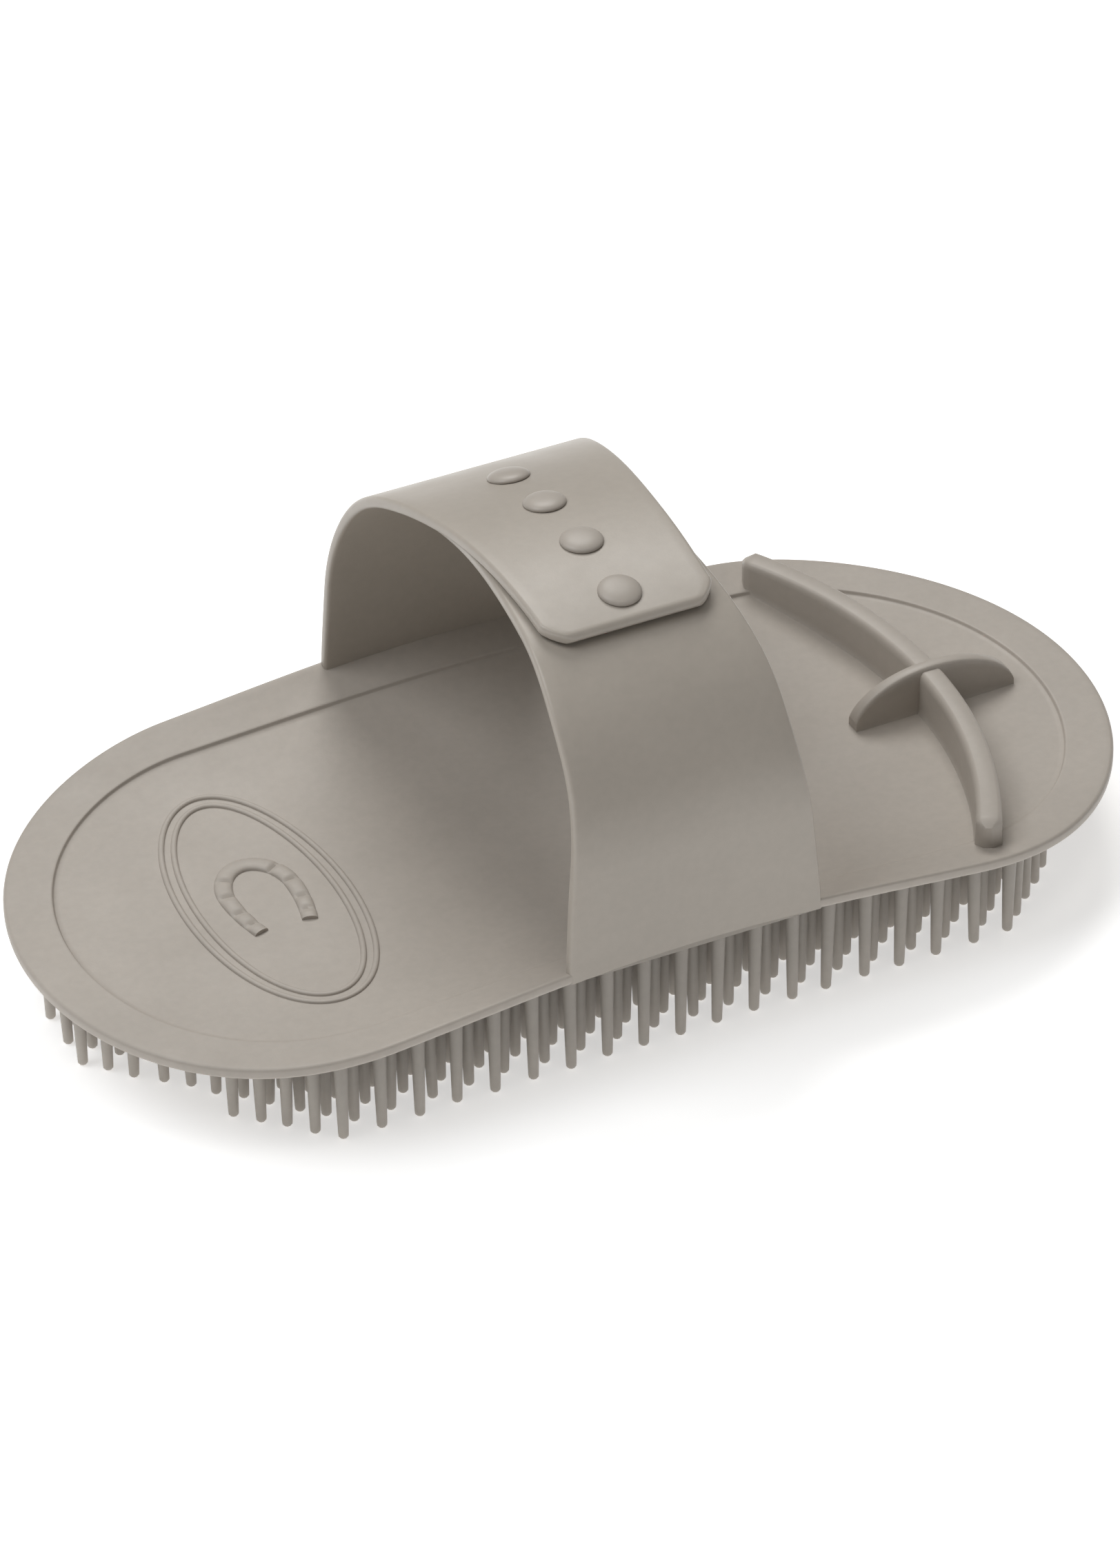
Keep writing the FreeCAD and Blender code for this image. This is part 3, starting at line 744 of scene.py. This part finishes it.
def make_mark():
    """Two oval lines and a horseshoe."""
    around = 160
    angle = np.linspace(0, 2 * math.pi, around, endpoint=False)
    for name, inset in (("mark_oval", LINE_HALF), ("mark_oval_inner", LINE_HALF + LINE_PITCH)):
        ring = np.stack([MARK_X + (MARK_SHORT - inset) * np.cos(angle),
                         (MARK_LONG - inset) * np.sin(angle)], -1)
        oval = raised_line(name, ring, np.full(around, LINE_HALF), True)
        dress(oval, deck_plastic, "comb", *(["mark_ring"] if name == "mark_oval" else []))

    bend = np.linspace(0, math.pi, 60)
    bow = np.stack([SHOE_SHORT * np.cos(bend), SHOE_LONG * np.sin(bend)], -1)
    leg = np.linspace(1, 0, 20, endpoint=False)
    right = np.stack([SHOE_SHORT - SHOE_CLOSE * leg ** 2, -SHOE_LEG * leg], -1)
    left = right[::-1] * [-1, 1]
    middle = np.concatenate([right, bow[1:-1], left]) + [MARK_X, SHOE_PLACE]
    count = len(middle)
    half = SHOE_HALF + SHOE_SWELL * np.sin(np.linspace(0, math.pi, count))
    sample = np.arange(count)
    nails = sum(np.exp(-((sample - nail) / NAIL_REACH) ** 2) for nail in SHOE_NAILS)
    shoe = raised_line("mark_shoe", middle, half, False, SHOE_RISE - NAIL_DIP * nails)
    dress(shoe, deck_plastic, "comb", "mark_horseshoe")


make_mark()

# %% [markdown]
# ## Teeth
#
# Hundreds of slim teeth do the combing, on the same staggered grid as in the CAD model. A
# tooth is a slim cone with a round tip, and it flares where it joins the deck. An array
# modifier would set out exact copies, but soft teeth never stand quite alike, so each one
# leans by a fraction of a millimetre. A whole row is worked out at once and is one
# piece, and each tooth has only a few dozen faces.


# %%
TOOTH_PITCH = 7.2 * MM             # tooth to tooth along a row
ROW_PITCH = 3.56 * MM
FIELD_CORNER = 112.8 * MM          # the field stops where x and y add up to this
FIELD_END = 98 * MM                # and here along the deck
FIELD_STEP = 30 * MM               # nearer the middle than this, each row is a tooth shorter
TIP, ROOT = 0.95 * MM, 1.3 * MM    # radii
TOOTH_SINK = 0.4 * MM              # a root runs this far into the deck
LEAN = 0.22 * MM                   # spread of the tips' places
chance = np.random.default_rng(7)


def tooth_rows():
    """Every row's name and the places of its teeth."""
    names = sorted(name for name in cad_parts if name.startswith("teeth_row_"))
    middle = (len(names) - 1) // 2
    for number, name in enumerate(names):
        row = number - middle
        y = row * ROW_PITCH
        stagger = 0 if row % 2 else 0.5
        x = (np.arange(-15, 15) + stagger) * TOOTH_PITCH
        corner = FIELD_CORNER - abs(y) - (TOOTH_PITCH if abs(y) < FIELD_STEP else 0)
        x = x[np.abs(x) <= min(corner, FIELD_END) + 1e-9]
        yield name, np.stack([x, np.full_like(x, y)], -1)


def make_row(name, places, around=10):
    """One piece with a separate round-tipped cone at each place.

    Each ring's level is a fixed height plus a share of the tooth's own height, and its
    centre moves by the lean, which fades from the tip to the root.
    """
    count = len(places)
    height = DECK_BOTTOM + lift(places[:, 0], places[:, 1]) + TOOTH_SINK
    # (radius, fixed height above the tip, share of the tooth's height)
    profile = np.array([
        (0.30 * TIP, 0.00, 0), (0.72 * TIP, 0.10 * MM, 0), (0.96 * TIP, 0.42 * MM, 0),
        (TIP, 0.9 * MM, 0), ((TIP + ROOT) / 2, 0, 0.5), (ROOT, -1.6 * MM, 1),
        (1.18 * ROOT, -0.8 * MM, 1), (1.55 * ROOT, 0, 1),
    ])
    angle = np.linspace(0, 2 * math.pi, around, endpoint=False)
    level = profile[:, 1] + profile[:, 2] * height[:, None]
    lean = chance.normal(0, LEAN, (count, 2))
    away = 1 - level / height[:, None]
    radius = profile[:, 0]
    shift = lean[:, None, :] * away[..., None]
    x = places[:, 0, None, None] + radius[:, None] * np.cos(angle) + shift[..., 0, None]
    y = places[:, 1, None, None] + radius[:, None] * np.sin(angle) + shift[..., 1, None]
    z = np.broadcast_to(level[..., None], x.shape)
    points = np.stack([x, y, z], -1)
    rings = len(profile)
    per_tooth = rings * around
    start = (np.arange(count) * per_tooth)[:, None, None]
    faces = (ring_faces(rings, around)[None] + start).reshape(-1, 4)
    ends = np.array([np.arange(around), np.arange(around) + (rings - 1) * around])
    caps = (ends[None] + start).reshape(-1, around)
    row = build(name.replace("teeth_row", "teeth"), points, faces, caps)
    return dress(row, tooth_plastic, "comb", name)


DEPTH_CURVE = 1.4                  # above 1 the darkening keeps nearer to the deck


# the depth stored here sets the painted shade between the teeth
def paint_depth(row):
    """Stores how deep each point lies among the teeth, from 0 at the tips to 1 at the deck."""
    co = np.zeros(len(row.data.vertices) * 3, np.float32)
    row.data.vertices.foreach_get("co", co)
    depth = np.clip(co[2::3] / DECK_BOTTOM, 0, 1) ** DEPTH_CURVE
    layer = row.data.attributes.new("depth", "FLOAT", "POINT")
    layer.data.foreach_set("value", depth.astype(np.float32))


teeth = 0
for name, places in tooth_rows():
    paint_depth(make_row(name, places))
    teeth += len(places)
print("teeth:", teeth)

# %% [markdown]
# ## Floor, light and camera
#
# The comb stands on a plain pale floor under large soft lights. A small bright lamp would
# draw hard shadows of the teeth, while wide lamps wrap round the satin plastic. A long lens
# keeps the comb's lines nearly parallel.


# %%
def make_floor():
    """A plain, nearly white floor that glows a little."""
    bpy.ops.mesh.primitive_plane_add(size=12, location=(0, 0, -0.0002))
    floor = bpy.context.object
    floor.name = "floor"
    material = bpy.data.materials.new("floor_white")
    material.use_nodes = True
    shader = material.node_tree.nodes["Principled BSDF"]
    shader.inputs["Base Color"].default_value = (0.90, 0.90, 0.90, 1)
    shader.inputs["Roughness"].default_value = 0.8
    shader.inputs["Specular IOR Level"].default_value = 0.2
    shader.inputs["Emission Color"].default_value = (1, 1, 1, 1)
    shader.inputs["Emission Strength"].default_value = 0.5
    floor.data.materials.append(material)


def area_light(name, place, target, side, power, tint=(1, 1, 1)):
    """A round soft light at a place, turned to its target."""
    light = bpy.data.lights.new(name, "AREA")
    light.shape = "DISK"
    light.size = side
    light.energy = power
    light.color = tint
    lamp = bpy.data.objects.new(name, light)
    bpy.context.collection.objects.link(lamp)
    lamp.location = place
    lamp.rotation_euler = (Vector(target) - Vector(place)).to_track_quat("-Z", "Y").to_euler()


def make_lights():
    """A key light behind, one overhead, a weak one in front and an even surround."""
    area_light("key", (0.25, 0.75, 1.15), (0, 0, 0.03), 0.75, 8.0, (1.0, 0.985, 0.96))
    area_light("overhead", (-0.65, 0.15, 1.1), (-0.05, 0, 0.03), 0.8, 6.5, (0.97, 0.985, 1.0))
    area_light("front", (0.05, -0.4, 1.25), (0, 0, 0.03), 0.4, 1.1, (1.0, 0.95, 0.88))
    world = bpy.data.worlds.new("studio")
    world.use_nodes = True
    world.node_tree.nodes["Background"].inputs["Color"].default_value = (1, 1, 1, 1)
    world.node_tree.nodes["Background"].inputs["Strength"].default_value = 0.19
    bpy.context.scene.world = world
    bpy.context.scene.view_settings.view_transform = "Standard"


def make_camera():
    """A long lens from the front left above, turned a little about its own line of sight."""
    azimuth, elevation, roll = math.radians(-25.01), math.radians(36.05), math.radians(-1.12)
    back = Vector((math.sin(azimuth) * math.cos(elevation),
                   -math.cos(azimuth) * math.cos(elevation), math.sin(elevation)))
    level = Vector((math.cos(azimuth), math.sin(azimuth), 0))
    up = back.cross(level)
    right = level * math.cos(roll) + up * math.sin(roll)
    top = up * math.cos(roll) - level * math.sin(roll)
    target = Vector((0.00275, 0.00802, 0.0174))
    data = bpy.data.cameras.new("camera")
    data.sensor_width = 36
    data.lens = 152.6
    data.clip_start, data.clip_end = 0.05, 20
    camera = bpy.data.objects.new("camera", data)
    bpy.context.collection.objects.link(camera)
    turn = Matrix((right, top, back)).transposed().to_4x4()
    camera.matrix_world = Matrix.Translation(target + back * 1.1925) @ turn
    bpy.context.scene.camera = camera


make_floor()
make_lights()
make_camera()
